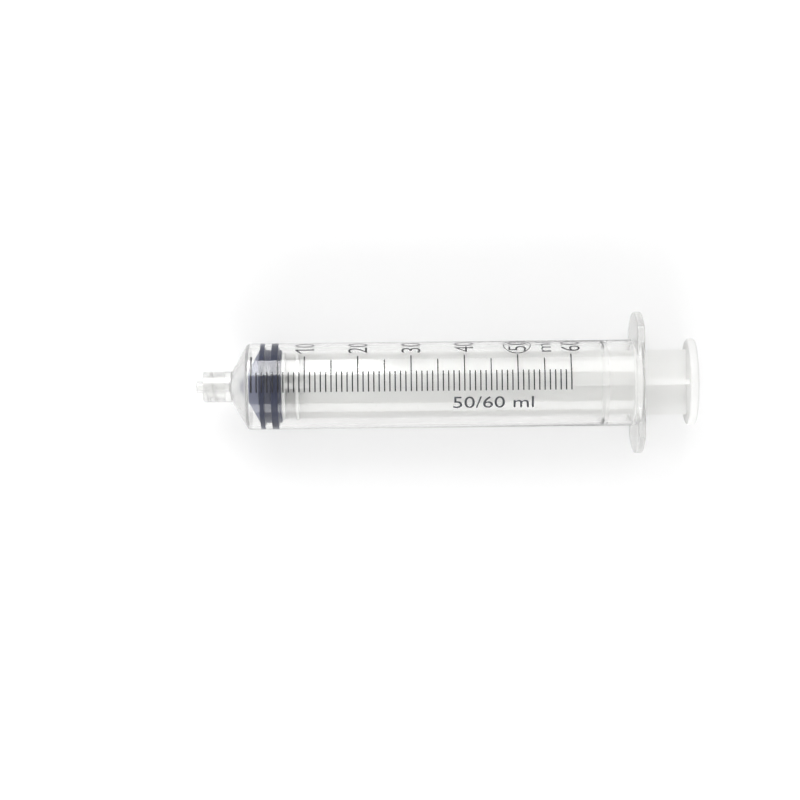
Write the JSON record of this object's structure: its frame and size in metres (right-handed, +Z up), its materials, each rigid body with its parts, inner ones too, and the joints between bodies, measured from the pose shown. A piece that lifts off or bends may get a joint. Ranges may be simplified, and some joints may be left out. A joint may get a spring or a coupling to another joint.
{
  "type": "syringe",
  "caption": "Three-piece syringe with a graduated clear barrel, locking conical nozzle, oblong finger flange, rubber stopper and winged plunger rod.",
  "frame": {"origin": "under the middle of the syringe's length, on the surface it lies on", "axes": "+X along the syringe's axis from the nozzle to the thumb rest, +Y along the long side of the finger flange, +Z up, through the printed scale"},
  "size_m": [0.1692, 0.048, 0.031],
  "materials": {
    "barrel_clear": "milky-clear moulded polypropylene, smooth",
    "stopper_rubber": "smooth grey-blue rubber, lightly siliconed",
    "rod_plastic": "translucent white moulded plastic",
    "scale_ink": "dark printed ink"
  },
  "bodies": {
    "barrel": {"barrel": "barrel_clear", "scale_print": "scale_ink"},
    "stopper": {"stopper": "stopper_rubber"},
    "plunger_rod": {"plunger_rod": "rod_plastic"}
  },
  "joints": [
    {"name": "plunger_slide", "type": "slide", "parent": "barrel", "child": "stopper", "axis": [1, 0, 0], "range_m": [-0.00275, 0.109]},
    {"name": "rod_turn", "type": "hinge", "parent": "stopper", "child": "plunger_rod", "pos_m": [-0.0596, 0, 0.0155], "axis": [1, 0, 0], "continuous": true}
  ]
}
